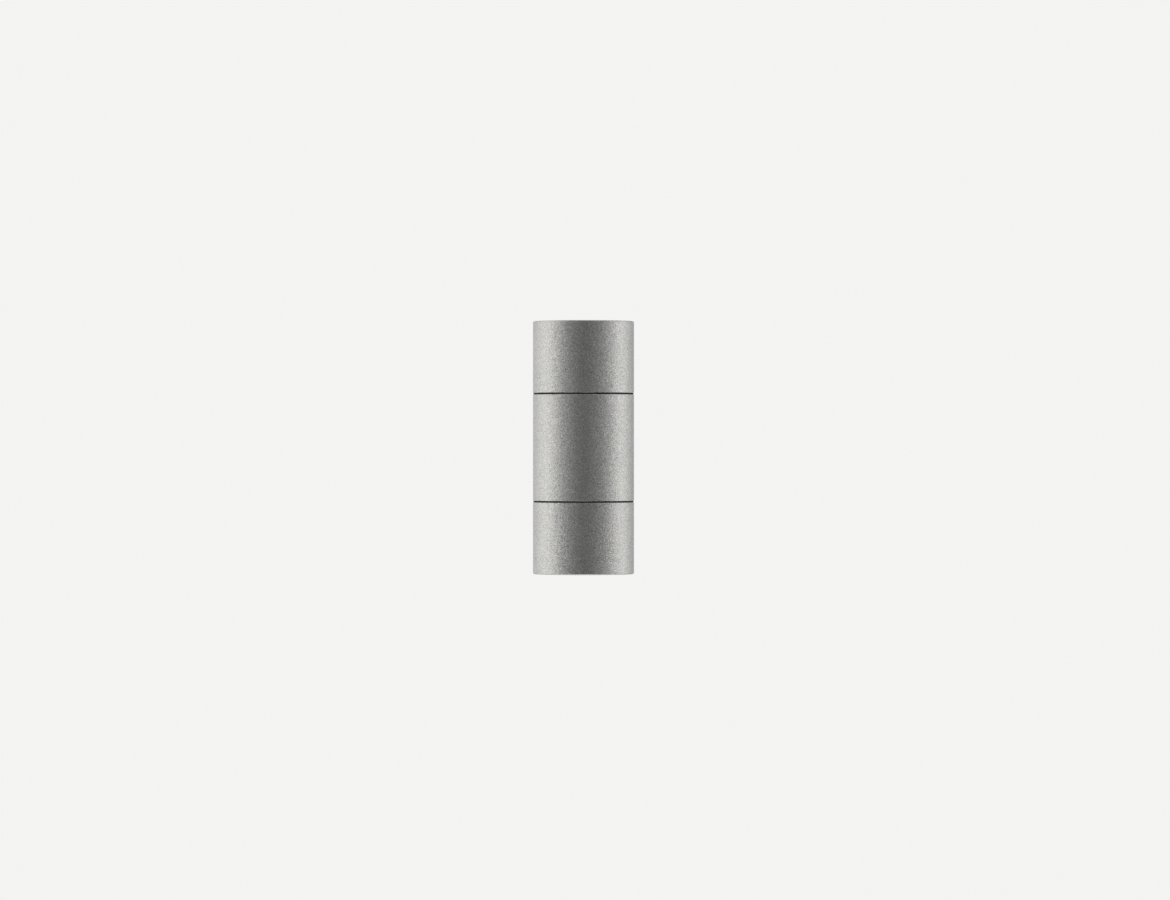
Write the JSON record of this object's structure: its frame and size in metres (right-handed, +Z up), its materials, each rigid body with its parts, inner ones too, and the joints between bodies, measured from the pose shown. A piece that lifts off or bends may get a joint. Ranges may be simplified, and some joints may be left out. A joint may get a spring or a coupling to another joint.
{
  "type": "tube wall light",
  "caption": "Up-and-down wall light: a satin aluminium tube in three sections on a hidden wall box, with a screw-off head, front glass and twist-lock reflector lamp at each end.",
  "frame": {"origin": "middle of the wall plate's back face, on the wall, midway between the two fixing slots", "axes": "+X to the right seen from the room, +Y into the wall, +Z up along the tube"},
  "size_m": [0.06, 0.082, 0.15],
  "materials": {
    "bare_aluminium": "machined",
    "black_rubber": "matt",
    "blue_insulation": "smooth",
    "brass": "bright",
    "brown_insulation": "smooth",
    "cast_box": "satin powder coat",
    "clear_glass": "clear",
    "clear_silicone": "translucent",
    "earth_insulation": "green with yellow stripe",
    "faceted_reflector": "faceted dichroic coating",
    "nickel": "nickel plated",
    "quartz": "clear",
    "satin_aluminium": "satin anodised",
    "stainless": "bright",
    "white_ceramic": "unglazed",
    "white_plastic": "natural",
    "zinc_steel": "zinc plated"
  },
  "bodies": {
    "wall_bracket": {"wall_plate": "zinc_steel"},
    "housing": {"box_seal": "black_rubber", "cable_grommet": "black_rubber", "centre_tube": "satin_aluminium", "earth_lead": "earth_insulation", "earth_screw": "nickel", "earth_tag": "nickel", "lock_nuts": "stainless", "lock_screws": "stainless", "lower_lamp_bracket": "zinc_steel", "lower_lampholder": "white_ceramic", "lower_lampholder_contacts": "brass", "lower_lampholder_screws": "stainless", "lower_live_lead": "brown_insulation", "lower_neutral_lead": "blue_insulation", "saddle_screws": "stainless", "saddle_seal": "black_rubber", "terminal_block": "white_plastic", "terminal_clamp_screws": "nickel", "terminal_fixing_screws": "nickel", "terminal_inserts": "brass", "upper_lamp_bracket": "zinc_steel", "upper_lampholder": "white_ceramic", "upper_lampholder_contacts": "brass", "upper_lampholder_screws": "stainless", "upper_live_lead": "brown_insulation", "upper_neutral_lead": "blue_insulation", "wall_box": "cast_box"},
    "upper_seal": {"upper_joint_seal": "black_rubber"},
    "upper_head_unit": {"upper_glass": "clear_glass", "upper_glass_seal": "clear_silicone", "upper_head": "satin_aluminium", "upper_retaining_ring": "bare_aluminium"},
    "upper_lamp_unit": {"upper_lamp_base": "white_ceramic", "upper_lamp_burner": "quartz", "upper_lamp_cover": "clear_glass", "upper_lamp_pins": "nickel", "upper_lamp_reflector": "faceted_reflector"},
    "lower_seal": {"lower_joint_seal": "black_rubber"},
    "lower_head_unit": {"lower_glass": "clear_glass", "lower_glass_seal": "clear_silicone", "lower_head": "satin_aluminium", "lower_retaining_ring": "bare_aluminium"},
    "lower_lamp_unit": {"lower_lamp_base": "white_ceramic", "lower_lamp_burner": "quartz", "lower_lamp_cover": "clear_glass", "lower_lamp_pins": "nickel", "lower_lamp_reflector": "faceted_reflector"}
  },
  "joints": [
    {"name": "luminaire_release", "type": "slide", "parent": "wall_bracket", "child": "housing", "axis": [0, -1, 0], "range_m": [0, 0.03]},
    {"name": "upper_head_travel", "type": "slide", "parent": "housing", "child": "upper_seal", "axis": [0, 0, 1], "range_m": [0, 0.0081]},
    {"name": "upper_head_turn", "type": "hinge", "parent": "upper_seal", "child": "upper_head_unit", "pos_m": [0, -0.052, 0], "axis": [0, 0, 1], "range_deg": [0, 1440]},
    {"name": "upper_lamp_twist", "type": "hinge", "parent": "housing", "child": "upper_lamp_unit", "pos_m": [0, -0.052, 0], "axis": [0, 0, 1], "range_deg": [0, 30]},
    {"name": "lower_head_travel", "type": "slide", "parent": "housing", "child": "lower_seal", "axis": [0, 0, -1], "range_m": [0, 0.0081]},
    {"name": "lower_head_turn", "type": "hinge", "parent": "lower_seal", "child": "lower_head_unit", "pos_m": [0, -0.052, 0], "axis": [0, 0, -1], "range_deg": [0, 1440]},
    {"name": "lower_lamp_twist", "type": "hinge", "parent": "housing", "child": "lower_lamp_unit", "pos_m": [0, -0.052, 0], "axis": [0, 0, -1], "range_deg": [0, 30]}
  ],
  "couplings": [
    {"joint": "upper_head_travel", "follows": "upper_head_turn", "m_per_rad": 0.00031831},
    {"joint": "lower_head_travel", "follows": "lower_head_turn", "m_per_rad": 0.00031831}
  ]
}
